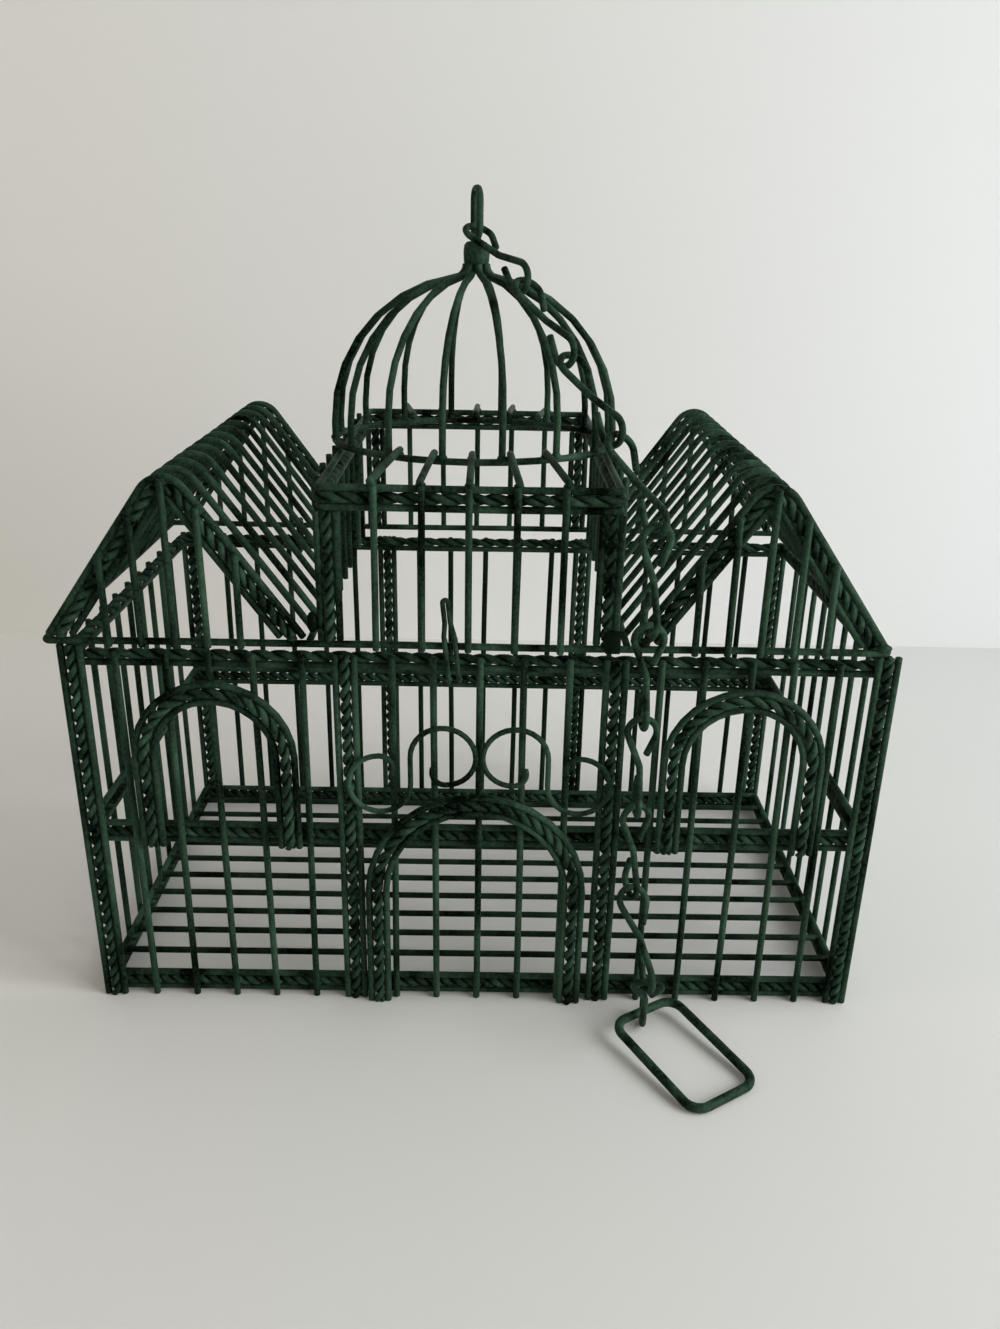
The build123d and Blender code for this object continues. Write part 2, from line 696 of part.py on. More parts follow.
# Chain: over the dome and the corner of the tower, down the front, and with a kink to the ring
link_pitch = 2 * (link_half - link_tip) - link_gap
last_pitch = 2 * link_half - link_tip - ring_tip - link_gap
hook_z = neck_top_z + 2 * wire_tip + link_tip + hook_rise
hook = Vector(lid_shift - hook_side, dome_y - hook_front, hook_z)
hang = Vector(lid_shift + tower_x + hang_side, -(band_y + hang_out), hook_z)
drape_way = (hang - hook).normalized()
plumb = Vector(0, 0, -1)


def facing(heading):
    """The level direction at a heading."""
    return Vector(cos(radians(heading)), sin(radians(heading)), 0)


def leaning(way, reach, length):
    """The direction of a link of a length that reaches so far along a level way."""
    return way * (reach / length) + plumb * sqrt(1 - (reach / length) ** 2)


links = [(drape_way * cos(radians(dip)) + plumb * sin(radians(dip)), drape_way) for dip in drape_dips]
spare = (hang - hook).length - link_pitch * sum(cos(radians(dip)) for dip in drape_dips)
links += [(leaning(drape_way, min(spare, link_pitch), link_pitch), drape_way)]
links += [(plumb, facing(heading)) for heading in plumb_headings]
links += [(leaning(facing(kink_heading), kink_reach, link_pitch), facing(kink_heading))]
low_z = hook_z + link_pitch * sum(ahead.Z for ahead, way in links)
return_reach = sqrt(max(0, last_pitch**2 - (low_z - ring_lift) ** 2))
links += [(leaning(facing(return_heading), -return_reach, last_pitch), facing(return_heading))]

pivot = hook
for number, (ahead, way) in enumerate(links, 1):
    across = Vector(-way.Y, way.X, 0)
    with BuildPart() as chain_link:
        with Locations(Plane(pivot, x_dir=across, z_dir=-ahead).location):
            add(link.part)
    chain_link.part.label = f"chain_link_{number:02d}"
    export_step(chain_link.part, f"parts/chain_link_{number:02d}.step")
    print(chain_link.part.label, "turns at", pivot, "about", -across)
    pivot += ahead * (last_pitch if number == len(links) else link_pitch)

# Hanging ring, held up at one short side by the last link
ring_way = facing(ring_heading)
ring_tilt = asin((pivot.Z - ring_face) / (ring_length + ring_tip / 2))
ring_across = Vector(ring_way.Y, -ring_way.X, 0)
ring_along = ring_way * cos(ring_tilt) + plumb * sin(ring_tilt)
ring_place = Plane(pivot, x_dir=ring_across, z_dir=ring_across.cross(ring_along))
with BuildPart() as ring_shape:
    loop = rounded_loop(ring_width / 2, ring_length / 2, ring_bend, 30)
    bent_wire([(x, y + ring_length / 2, 0) for x, y in loop], ring_wire, (0, 0, 1), closed=True)
with BuildPart() as hanging_ring:
    with Locations(ring_place.location):
        add(ring_shape.part)
hanging_ring.part.label = "hanging_ring"
export_step(hanging_ring.part, "parts/hanging_ring.step")
print("hanging_ring turns at", pivot, "about", ring_across)
print("lid turns at", Vector(0, base_y, lid_z), "latch turns at", Vector(latch_x, -base_y, lid_z))
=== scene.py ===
import json
from math import acos, asin, ceil, cos, degrees, pi, radians, sin, sqrt, tan
from random import Random

import bmesh
import bpy
from mathutils import Matrix, Vector, noise


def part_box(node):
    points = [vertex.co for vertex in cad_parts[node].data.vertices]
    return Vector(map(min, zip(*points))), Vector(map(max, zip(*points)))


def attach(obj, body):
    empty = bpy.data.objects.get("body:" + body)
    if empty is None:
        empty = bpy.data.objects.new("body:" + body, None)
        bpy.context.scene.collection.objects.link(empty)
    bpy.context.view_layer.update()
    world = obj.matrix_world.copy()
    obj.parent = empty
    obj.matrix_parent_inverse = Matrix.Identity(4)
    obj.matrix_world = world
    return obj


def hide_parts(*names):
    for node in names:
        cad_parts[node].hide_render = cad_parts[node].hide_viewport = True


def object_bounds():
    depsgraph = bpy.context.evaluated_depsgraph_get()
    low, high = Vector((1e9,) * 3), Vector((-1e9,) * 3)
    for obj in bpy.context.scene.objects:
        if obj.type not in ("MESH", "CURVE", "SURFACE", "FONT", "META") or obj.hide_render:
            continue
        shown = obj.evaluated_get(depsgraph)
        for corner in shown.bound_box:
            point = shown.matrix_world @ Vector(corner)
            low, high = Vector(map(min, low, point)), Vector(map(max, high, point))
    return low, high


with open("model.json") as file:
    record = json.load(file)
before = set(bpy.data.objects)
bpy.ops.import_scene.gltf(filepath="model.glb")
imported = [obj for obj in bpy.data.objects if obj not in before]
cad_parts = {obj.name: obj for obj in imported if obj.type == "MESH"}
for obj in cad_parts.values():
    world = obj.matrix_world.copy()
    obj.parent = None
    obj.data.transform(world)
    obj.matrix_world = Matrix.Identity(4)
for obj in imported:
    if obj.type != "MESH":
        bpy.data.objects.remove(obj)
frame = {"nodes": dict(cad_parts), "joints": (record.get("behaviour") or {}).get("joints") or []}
cadLow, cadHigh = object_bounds()
print("frame loaded,", len(frame["nodes"]), "nodes")

# Pieces are modelled in millimetres and made metres when they are finished
mm = 0.001
right = Vector((1, 0, 0))
back = Vector((0, 1, 0))
up = Vector((0, 0, 1))
hand = Random(12)  # the same small unevenness each run
noise.seed_set(12)


class Shade:
    # wraps a socket, so that sums on surface values read as plain Python
    def __init__(self, tree, socket=None):
        self.tree = tree
        self.socket = socket

    def make(self, kind, settings=None, values=None, output=0):
        node = self.tree.nodes.new(kind)
        for name, value in (settings or {}).items():
            if name == "stops":  # of a colour ramp
                for stop, (place, colour) in zip(node.color_ramp.elements, value):
                    stop.position = place
                    stop.color = colour
            else:
                setattr(node, name, value)
        for name, value in (values or {}).items():
            if isinstance(value, Shade):
                self.tree.links.new(value.socket, node.inputs[name])
            else:
                node.inputs[name].default_value = value
        return Shade(self.tree, node.outputs[output] if node.outputs else None)

    def maths(self, operation, first, second):
        return self.make("ShaderNodeMath", {"operation": operation}, {0: first, 1: second})

    def colours(self, amount, first, second):  # from the first colour to the second
        sockets = {0: amount, 6: first, 7: second}
        return self.make("ShaderNodeMix", {"data_type": "RGBA"}, sockets, output=2)

    def __add__(self, other):
        return self.maths("ADD", self, other)

    def __sub__(self, other):
        return self.maths("SUBTRACT", self, other)

    def __rsub__(self, other):
        return self.maths("SUBTRACT", other, self)

    def __mul__(self, other):
        return self.maths("MULTIPLY", self, other)

    __radd__ = __add__
    __rmul__ = __mul__


def newMaterial(name):
    material = bpy.data.materials.new(name)
    material.use_nodes = True
    material.node_tree.nodes.clear()
    return material, Shade(material.node_tree)


def shared(first, second, share):  # so much of the first, and the rest of the second
    return first * share + second * (1 - share)


def enamel(name, look):
    material, paint = newMaterial(name)
    place = paint.make("ShaderNodeTexCoord", output="Object")
    drawn = paint.make(
        "ShaderNodeMapping", {}, {"Vector": place, "Scale": (1.0, 1.0, look["runStretch"])}
    )
    patches = paint.make(
        "ShaderNodeTexNoise",
        {},
        {"Vector": drawn, "Scale": look["patchScale"], "Detail": look["patchDetail"]},
    )
    grain = paint.make(
        "ShaderNodeTexNoise",
        {},
        {"Vector": place, "Scale": look["grainScale"], "Detail": look["grainDetail"]},
    )
    groove = paint.make("ShaderNodeAttribute", {"attribute_name": "groove"}, output="Fac")
    cloudy = (shared(patches, grain, look["cloudShare"]) - 0.5) * look["patchDepth"] + 0.5
    coat = paint.colours(cloudy, look["deep"], look["bright"])
    rubEnd = look["rubFrom"] + look["rubSpan"]
    rubbed = paint.make(  # thin, chalky places where hands and neighbours have rubbed
        "ShaderNodeValToRGB",
        {"stops": ((look["rubFrom"], (0, 0, 0, 1)), (rubEnd, (1, 1, 1, 1)))},
        {"Fac": shared(patches, grain, look["rubShare"])},
    )
    rub = rubbed * look["rubAmount"] * (1 - groove)
    coat = paint.colours(rub, coat, look["chalk"])
    coat = paint.colours(groove * look["grooveDark"], coat, look["shadow"])
    rough = look["rough"] + (grain - 0.5) * look["roughSpread"] + rub * look["rubRough"]
    skin = paint.make(
        "ShaderNodeBump",
        {},
        {
            "Strength": look["skin"],
            "Distance": look["skinDepth"] * mm,
            "Height": shared(patches, grain, look["skinShare"]),
        },
    )
    surface = paint.make(
        "ShaderNodeBsdfPrincipled",
        {},
        {
            "Base Color": coat,
            "Roughness": rough,
            "Normal": skin,
            "Coat Weight": look["gloss"],
            "Coat Roughness": look["glossRough"],
            "Specular IOR Level": look["mirror"],
        },
    )
    paint.make("ShaderNodeOutputMaterial", {}, {"Surface": surface})
    return material


cageLook = {
    "deep": (0.0005, 0.0026, 0.0009, 1.0),
    "bright": (0.040, 0.084, 0.052, 1.0),
    "chalk": (0.075, 0.125, 0.095, 1.0),
    "shadow": (0.0006, 0.0030, 0.0014, 1.0),
    "patchScale": 65.0,
    "patchDetail": 3.0,
    "patchDepth": 3.5,
    "grainScale": 820.0,
    "grainDetail": 2.0,
    "runStretch": 0.35,  # below 1, the patches run down the wires
    "cloudShare": 0.7,  # of the patches in the colour, the rest is grain
    "rubShare": 0.45,  # of the patches in the rubbed places
    "rubFrom": 0.60,
    "rubSpan": 0.12,
    "rubAmount": 0.35,
    "rubRough": 0.25,
    "grooveDark": 0.6,
    "rough": 0.45,
    "roughSpread": 0.30,
    "skin": 0.35,
    "skinDepth": 0.3,
    "skinShare": 0.55,  # of the patches in the bumps
    "gloss": 0.02,
    "glossRough": 0.25,
    "mirror": 0.02,  # strength of the plain reflection
}
ropeLook = dict(cageLook, rough=0.46, grooveDark=0.8, patchScale=90.0, runStretch=1.0)
chainLook = dict(
    cageLook, bright=(0.037, 0.078, 0.048, 1.0), rough=0.40, runStretch=1.0, patchScale=120.0
)
innerShadeLook = dict(cageLook, bright=(0.018, 0.038, 0.023, 1.0), rubAmount=0.15)  # darker, as painted shade on the back bars and floor wires, and less rubbed, out of hands' reach
# a much darker copy again, as painted shade on the tower's sheet clip
clipShadeLook = dict(cageLook, bright=(0.008, 0.017, 0.010, 1.0), rubAmount=0.1)

# The material slot and the finish of each kind of wire; the inner and clip finishes are darker
# copies that paint shade
cageCoat = ("cage_wire", enamel("cage_enamel", cageLook))
ropeCoat = ("rope_wire", enamel("rope_enamel", ropeLook))
chainCoat = ("chain_wire", enamel("chain_enamel", chainLook))
innerShadeCoat = ("cage_wire", enamel("inner_shade_enamel", innerShadeLook))
clipShadeCoat = ("cage_wire", enamel("clip_shade_enamel", clipShadeLook))
print("enamels made")

# How wires are pushed along their runs and bends
bending = {
    "wireSides": 10,
    "strandSides": 8,
    "stride": 9.0,  # longest straight step
    "chunk": 60.0,  # longest run that is pushed in one go
    "bendStep": 12.0,  # degrees
    "strand": 2.2,  # two of these, twisted, make a rope
    "ropeSteps": 12,  # per turn
    "strandSpread": 1.36,  # a slanting strand is cut wider than it is, and paint fills it out
    "strandNest": 0.93,
    "cutEnd": 0.12,  # rounding of a cut end, as a share of the wire
    "cutFlat": 0.72,  # width of the flat that is left there
    "seam": 0.002,
}
# Length of one full turn of a rope
ropeTurn = {"post": 10.2, "hoop": 9.8, "eave": 14.4, "arch": 12.0, "gable": 11.0}


def run(length):
    return ("run", length, 0.0, None)


def bend(radius, turn, axis):
    return ("bend", radius, radians(turn), Vector(axis).normalized())


def walk(at, heading, moves):  # where a wire gets to, and which way it then points
    at = Vector(at)
    heading = Vector(heading).normalized()
    for kind, size, turn, axis in moves:
        if kind == "run":
            at = at + heading * size
        else:
            centre = at + axis.cross(heading) * size
            turned = Matrix.Rotation(turn, 3, axis)
            at = centre + turned @ (at - centre)
            heading = turned @ heading
    return at, heading


def wireLength(moves):
    return sum(size if kind == "run" else size * turn for kind, size, turn, axis in moves)


def join(target, part):  # adds a scratch mesh to another and lets it go
    holder = bpy.data.meshes.new("holder")
    part.to_mesh(holder)
    part.free()
    target.from_mesh(holder)
    bpy.data.meshes.remove(holder)


def onlyVerts(geom):
    return [item for item in geom if isinstance(item, bmesh.types.BMVert)]


def onlyEdges(geom):
    return [item for item in geom if isinstance(item, bmesh.types.BMEdge)]


def ringOf(scratch, geom):  # the last ring's corners in order, each with its groove value
    groove = scratch.verts.layers.float["groove"]
    verts = onlyVerts(geom)
    found = set(verts)
    order = [verts[0]]
    while len(order) < len(verts):
        near = [edge.other_vert(order[-1]) for edge in order[-1].link_edges]
        order.append(next(vert for vert in near if vert in found and vert not in order))
    return [(vert.co.copy(), vert[groove]) for vert in order]


def freshRing(ring):  # a scratch mesh that starts from a ring
    scratch = bmesh.new()
    groove = scratch.verts.layers.float.new("groove")
    verts = [scratch.verts.new(corner) for corner, value in ring]
    for vert, (corner, value) in zip(verts, ring):
        vert[groove] = value
    edges = [scratch.edges.new((verts[k - 1], verts[k])) for k in range(len(verts))]
    return scratch, verts + edges


def closeEnd(tube, ring, outward, depth):
    scratch, geom = freshRing(ring)
    middle = sum((corner for corner, value in ring), Vector()) / len(ring)
    out = bmesh.ops.extrude_edge_only(scratch, edges=onlyEdges(geom))["geom"]
    verts = onlyVerts(out)
    rim = [edge for edge in onlyEdges(out) if edge.verts[0] in verts and edge.verts[1] in verts]
    flat = (bending["cutFlat"],) * 3
    bmesh.ops.scale(scratch, vec=flat, space=Matrix.Translation(-middle), verts=verts)
    bmesh.ops.translate(scratch, vec=outward * depth, verts=verts)
    bmesh.ops.contextual_create(scratch, geom=rim)
    join(tube, scratch)


def spinOn(scratch, geom, centre, axis, angle, steps, along=Vector()):
    done = bmesh.ops.spin(
        scratch,
        geom=geom,
        cent=centre,
        axis=axis,
        dvec=along,
        angle=angle,
        steps=steps,
        use_merge=False,
    )
    return done["geom_last"]


def pushMove(tube, ring, at, heading, move, twist, steps):
    kind, size, turn, axis = move
    scratch, last = freshRing(ring)
    if kind == "run":
        last = spinOn(scratch, last, at, heading, twist * size, steps, heading * size / steps)
        at, heading = walk(at, heading, [move])
    elif not twist:
        centre = at + axis.cross(heading) * size
        last = spinOn(scratch, last, centre, axis, turn, steps)
        at, heading = walk(at, heading, [move])
    else:  # a strand also turns about its rope, at each step of the bend
        part = (kind, size, turn / steps, axis)
        for k in range(steps):
            centre = at + axis.cross(heading) * size
            last = spinOn(scratch, last, centre, axis, turn / steps, 1)
            at, heading = walk(at, heading, [part])
            about = Matrix.Rotation(twist * size * turn / steps, 3, heading)
            bmesh.ops.rotate(scratch, cent=at, matrix=about, verts=onlyVerts(last))
    ring = ringOf(scratch, last)
    join(tube, scratch)
    return ring, at, heading


def pushTube(tube, at, heading, moves, thick, closed=False, strand=0, twist=0.0):
    at = Vector(at)
    heading = Vector(heading).normalized()
    across = heading.orthogonal().normalized()
    moves = list(moves)
    cut = 0.0 if closed else thick * bending["cutEnd"]
    at = at + heading * cut
    for end in (0, -1):  # the rounded ends stay inside the wire's length
        if moves[end][0] == "run":
            moves[end] = run(moves[end][1] - cut)
    sides = bending["strandSides"] if strand else bending["wireSides"]
    scratch = bmesh.new()
    made = bmesh.ops.create_circle(scratch, cap_ends=False, segments=sides, radius=thick / 2)
    if strand:
        bmesh.ops.scale(scratch, vec=(1, bending["strandSpread"], 1), verts=made["verts"])
    turned = Matrix((across, heading.cross(across), heading)).transposed().to_4x4()
    offset = Vector((strand * thick / 2 * bending["strandNest"], 0, 0))
    ring = []
    for vert in made["verts"]:  # inward is 1 where the strands meet, 0 on the rope's outside
        inward = 0.5 - vert.co.x * strand / thick if strand else 0.0
        ring.append((at + turned @ (vert.co + offset), inward * inward))
    scratch.free()
    if not closed:
        closeEnd(tube, ring, -heading, cut)
    for move in moves:
        kind, size, turn, axis = move
        if kind == "run":
            parts = max(1, ceil(size / bending["chunk"]))
            move = run(size / parts)
            fine = move[1] / bending["stride"]
        else:
            parts = 1
            fine = degrees(turn) / bending["bendStep"]
        if strand:
            fine = max(fine, wireLength([move]) * twist / (2 * pi) * bending["ropeSteps"])
        for k in range(parts):
            ring, at, heading = pushMove(tube, ring, at, heading, move, twist, max(1, ceil(fine)))
    if not closed:
        closeEnd(tube, ring, heading, cut)


def newPiece():
    bm = bmesh.new()
    bm.verts.layers.float.new("groove")
    return bm


def layWire(bm, at, heading, moves, thick, closed=False):
    tube = newPiece()
    pushTube(tube, at, heading, moves, thick, closed)
    bmesh.ops.remove_doubles(tube, verts=tube.verts, dist=bending["seam"])
    join(bm, tube)


def layRope(bm, at, heading, moves, turnLength, closed=False):
    length = wireLength(moves)
    turns = length / turnLength
    if closed:  # a whole number of half turns, so that the strands meet
        turns = round(2 * turns) / 2
    tube = newPiece()
    for strand in (-1, 1):
        twist = 2 * pi * turns / length
        pushTube(tube, at, heading, moves, bending["strand"], closed, strand, twist)
    bmesh.ops.remove_doubles(tube, verts=tube.verts, dist=bending["seam"])
    join(bm, tube)


solder = {"around": 8, "over": 6}  # faces of a lump


def weld(bm, at, radius, stretch):  # a lump of solder under the paint
    place = Matrix.Translation(Vector(at)) @ Matrix.Diagonal((*stretch, 1))
    bmesh.ops.create_uvsphere(
        bm, u_segments=solder["around"], v_segments=solder["over"], radius=radius, matrix=place
    )


# A slow wander of the wires, none at the outside of the cage
unevenness = {"reach": 0.35, "wave": 70.0, "halfDepth": 83.0, "top": 300.0, "fade": 40.0}


def handBent(bm):
    half = (cadHigh - cadLow) / mm / 2
    top, fade = unevenness["top"], unevenness["fade"]
    for vert in bm.verts:
        drift = noise.noise_vector(vert.co / unevenness["wave"]) * unevenness["reach"]
        free = (
            1 - min(1, abs(vert.co.x) / half.x) ** 2,
            1 - min(1, abs(vert.co.y) / unevenness["halfDepth"]) ** 2,
            min(1, vert.co.z / fade) * min(1, max(0, top - vert.co.z) / fade),
        )
        vert.co += Vector(d * f for d, f in zip(drift, free))


def finishPiece(name, bm, body, nodes, coat=cageCoat, even=False):
    slot, finish = coat
    if not even:
        handBent(bm)
    bmesh.ops.recalc_face_normals(bm, faces=bm.faces)
    bmesh.ops.scale(bm, vec=(mm, mm, mm), verts=bm.verts)
    mesh = bpy.data.meshes.new(name)
    bm.to_mesh(mesh)
    bm.free()
    mesh.shade_smooth()
    mesh.materials.append(finish)
    piece = bpy.data.objects.new(name, mesh)
    bpy.context.collection.objects.link(piece)
    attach(piece, body)
    if nodes:
        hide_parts(*nodes)
    print(name, len(mesh.polygons), "faces")


def nodeBox(node):
    return tuple(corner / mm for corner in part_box(node))


def solidBoxes(node):  # the lowest and highest corner of each separate solid of a node
    bm = bmesh.new()
    bm.from_mesh(frame["nodes"][node].data)
    bmesh.ops.remove_doubles(bm, verts=bm.verts, dist=bending["seam"] * mm)
    left = set(bm.verts)
    boxes = []
    while left:
        group = [left.pop()]
        for vert in group:
            near = [edge.other_vert(vert) for edge in vert.link_edges]
            fresh = [other for other in near if other in left]
            left.difference_update(fresh)
            group += fresh
        spots = [vert.co / mm for vert in group]
        low = Vector(min(spot[k] for spot in spots) for k in range(3))
        high = Vector(max(spot[k] for spot in spots) for k in range(3))
        boxes.append((low, high))
    bm.free()
    return sorted(boxes, key=lambda box: tuple(round(v, 2) for v in (*box[0], *box[1])))


def straightWires(bm, node, thick, lean=Vector()):  # each leans by up to so much, either way
    for low, high in solidBoxes(node):
        size = high - low
        way = max(range(3), key=lambda k: size[k])
        along = Vector(1.0 if k == way else 0.0 for k in range(3))
        start = (low + high) / 2 - along * size[way] / 2
        heading = along + lean * hand.uniform(-1, 1) / size[way]
        layWire(bm, start, heading, [run(size[way])], thick)


def straightRopes(bm, node):
    for low, high in solidBoxes(node):
        start = Vector(((low.x + high.x) / 2, (low.y + high.y) / 2, low.z))
        layRope(bm, start, up, [run(high.z - low.z)], ropeTurn["post"])


def hoopMoves(halfSide, halfEnd, corner, axis=up):  # from the middle of a side, once round
    quarter = bend(corner, 90, axis)
    side = run(2 * (halfSide - corner))
    end = run(2 * (halfEnd - corner))
    part = run(halfSide - corner)
    return [part, quarter, end, quarter, side, quarter, end, quarter, part]


# Half sizes of the six-sided wires that the solids have, across their corners and faces
solid = {"wireTip": 1.43, "wireFace": 1.238, "ropeTip": 1.87, "ropeFace": 1.619, "lay": 3.3}

wires = {"thick": 2.6, "barThick": 2.47, "hoopCorner": 2.5}


def hoops(name, node, body, rope, turnLength=ropeTurn["hoop"]):
    face = solid["ropeFace"] if rope else solid["wireFace"]
    bm = newPiece()
    for low, high in solidBoxes(node):
        middle = (low + high) / 2
        halfX = (high.x - low.x) / 2 - face
        halfY = (high.y - low.y) / 2 - face
        moves = hoopMoves(halfX, halfY, wires["hoopCorner"])
        if rope:
            layRope(bm, middle - back * halfY, right, moves, turnLength, closed=True)
        else:
            layWire(bm, middle - back * halfY, right, moves, wires["thick"], closed=True)
    finishPiece(name, bm, body, [node], ropeCoat if rope else cageCoat)


for level in ("bottom", "middle"):
    hoops(level + "HoopWires", level + "_hoop_wires", "box", False)
hoops("topHoopWire", "top_hoop_wire", "box", False)
for level in ("bottom", "middle"):
    hoops(level + "HoopRope", level + "_hoop_rope", "box", True)
hoops("topHoopRope", "top_hoop_rope", "box", True, ropeTurn["eave"])
hoops("towerTopWires", "tower_top_wires", "lid", False)
hoops("towerTopRope", "tower_top_rope", "lid", True, ropeTurn["eave"])
print("hoops bent")

hoopHeights = []
for level in ("bottom", "middle", "top"):
    low, high = nodeBox(level + "_hoop_rope")
    hoopHeights.append((low.z + high.z) / 2)

# Posts: a rope between two wires
posts = (
    ("cornerPost", "corner_post", "box"),
    ("midPost", "mid_post", "box"),
    ("towerPost", "tower_post", "lid"),
)
for name, node, body in posts:
    bm = newPiece()
    straightWires(bm, node + "_wires", wires["thick"])
    finishPiece(name + "Wires", bm, body, [node + "_wires"])
for name, node, body in posts:
    bm = newPiece()
    straightRopes(bm, node + "_ropes")
    finishPiece(name + "Ropes", bm, body, [node + "_ropes"], ropeCoat)
print("posts up")

# Wall bars, each soldered to the three hoops
walls = {"sway": 0.9, "foot": 0.02, "weld": 1.25, "weldStretch": 1.5}


def wallBars(name, node, outward, coat=cageCoat):
    bm = newPiece()
    flat = outward.x == 0  # the front or the back
    thick = wires["thick"] if flat else wires["barThick"]
    stretch = (walls["weldStretch"], 1, 1) if flat else (1, walls["weldStretch"], 1)
    for low, high in solidBoxes(node):
        start = Vector(((low.x + high.x) / 2, (low.y + high.y) / 2, low.z + walls["foot"]))
        lean = hand.uniform(-walls["sway"], walls["sway"]) / (high.z - low.z)
        heading = up + (right if flat else back) * lean
        layWire(bm, start, heading, [run(high.z - start.z)], thick)
        for z in hoopHeights:
            seat = start + heading * z - outward * solid["wireFace"]
            weld(bm, seat, walls["weld"], stretch)
    finishPiece(name, bm, "box", [node], coat)


wallBars("frontBars", "front_bars", -back)
# the back bars take the darker enamel: painted shade
wallBars("backBars", "back_bars", back, innerShadeCoat)
wallBars("leftBars", "left_bars", -right)
wallBars("rightBars", "right_bars", right)

floor = {"weld": 1.5, "weldStretch": (1, 1.3, 0.9)}
bm = newPiece()
straightWires(bm, "floor_wires", wires["thick"])
for low, high in solidBoxes("floor_wires"):
    for x in (low.x, high.x):
        seat = (x, (low.y + high.y) / 2, (low.z + high.z) / 2)
        weld(bm, seat, floor["weld"], floor["weldStretch"])
# the floor wires take the darker enamel: painted shade
finishPiece("floorWires", bm, "box", ["floor_wires"], innerShadeCoat)
print("walls and floor laid")

# Arches on the front
arches = {"chordTurn": 20.0}  # degrees of arch to each straight of the solids


def archPiece(name, node, rope):
    tip = solid["ropeTip"] if rope else solid["wireTip"]
    bm = newPiece()
    for low, high in solidBoxes(node):
        radius = (high.x - low.x) / 2 - tip
        spring = high.z - (radius + tip) / cos(radians(arches["chordTurn"] / 2))
        start = Vector((high.x - tip, (low.y + high.y) / 2, low.z))
        leg = run(spring - low.z)
        moves = [leg, bend(radius, 180, -back), leg]
        if rope:
            layRope(bm, start, up, moves, ropeTurn["arch"])
        else:
            layWire(bm, start, up, moves, wires["thick"])
    finishPiece(name, bm, "box", [node], ropeCoat if rope else cageCoat)


for name, node in (
    ("leftWindow", "left_window"),
    ("rightWindow", "right_window"),
    ("doorArch", "door_arch"),
):
    archPiece(name + "Wires", node + "_wires", False)
    archPiece(name + "Rope", node + "_rope", True)
print("arches bent")

# Scrolls over the door: bends by radius and degrees, from the stem outwards
scroll = {
    "thick": 2.05,
    "stemX": 25.2,
    "lowZ": 97.5,
    "stem": 11.0,
    "lowCurl": (11.4, 270.0),
    "lowEye": (5.0, 120.0),
    "highCurl": (11.9, 180.0),
    "innerCurl": (11.0, 90.0),
    "highEye": (5.0, 110.0),
}
for name, node, side in (("leftScroll", "left_scroll", -1), ("rightScroll", "right_scroll", 1)):
    low, high = nodeBox(node)
    foot = Vector((side * scroll["stemX"], (low.y + high.y) / 2, scroll["lowZ"]))
    turnIn = back * -side
    lower = [bend(*scroll["lowCurl"], turnIn), bend(*scroll["lowEye"], turnIn)]
    start, heading = walk(foot, -up, lower)
    moves = [bend(*scroll["lowEye"], -turnIn), bend(*scroll["lowCurl"], -turnIn)]
    moves += [run(scroll["stem"]), bend(*scroll["highCurl"], turnIn)]
    moves += [bend(*scroll["innerCurl"], turnIn), bend(*scroll["highEye"], turnIn)]
    bm = newPiece()
    layWire(bm, start, -heading, moves, scroll["thick"])
    finishPiece(name, bm, "box", [node])
print("scrolls curled")

# Hinge rings at the back
hinge = {"thick": 2.0, "corner": 2.0, "solidTip": 1.1}
bm = newPiece()
for low, high in solidBoxes("hinge_rings"):
    halfY = (high.y - low.y) / 2 - hinge["solidTip"]
    halfZ = (high.z - low.z) / 2 - hinge["solidTip"]
    moves = hoopMoves(halfY, halfZ, hinge["corner"], right)
    layWire(bm, (low + high) / 2 - up * halfZ, back, moves, hinge["thick"], closed=True)
finishPiece("hingeRings", bm, "box", ["hinge_rings"])

# Lid: base wire and valley wires
lid = {"corner": 2.0, "thick": 2.6, "lean": 0.3}
lidHalf = lid["thick"] / 2
baseLow, baseHigh = nodeBox("lid_base_wire")
lidX = (baseLow.x + baseHigh.x) / 2
lidZ = (baseLow.z + baseHigh.z) / 2
baseX = (baseHigh.x - baseLow.x) / 2 - lidHalf
baseY = (baseHigh.y - baseLow.y) / 2 - lidHalf
bm = newPiece()
moves = hoopMoves(baseX, baseY, lid["corner"])
layWire(bm, (lidX, -baseY, lidZ), right, moves, lid["thick"], closed=True)
finishPiece("lidBaseWire", bm, "lid", ["lid_base_wire"])
bm = newPiece()
straightWires(bm, "valley_wires", lid["thick"])
finishPiece("valleyWires", bm, "lid", ["valley_wires"])

# Roofs: gable bands, gable bars and the wires over the ridge
roof = {
    "pitch": 54.5,
    "bend": 9.0,
    "weld": 1.35,
    "bandStretch": (1.5, 1, 0.9),
    "barTopStretch": (1.3, 1, 1.3),
    "barTopDrop": 1.2,
    "barFootStretch": (1.3, 1, 0.9),
    "wireStretch": (1, 1.3, 0.9),
}
slope = radians(roof["pitch"])
valleyLow, valleyHigh = solidBoxes("valley_wires")[1]
valleyX = (valleyLow.x + valleyHigh.x) / 2 - lidX
gableX = (baseX + valleyX) / 2
gableHalf = (baseX - valleyX) / 2
bandY = baseY + lidHalf - solid["ropeFace"]


def gableLine(x, y, inset, lift):  # start, heading and moves of a wire over the ridge
    radius = roof["bend"] - inset
    foot = gableHalf - inset / sin(slope) - lift / tan(slope)
    leg = run((foot - radius * sin(slope)) / cos(slope))
    start = Vector((x - foot, y, lidZ + lift))
    heading = Vector((cos(slope), 0, sin(slope)))
    return start, heading, [leg, bend(radius, 2 * roof["pitch"], back), leg]


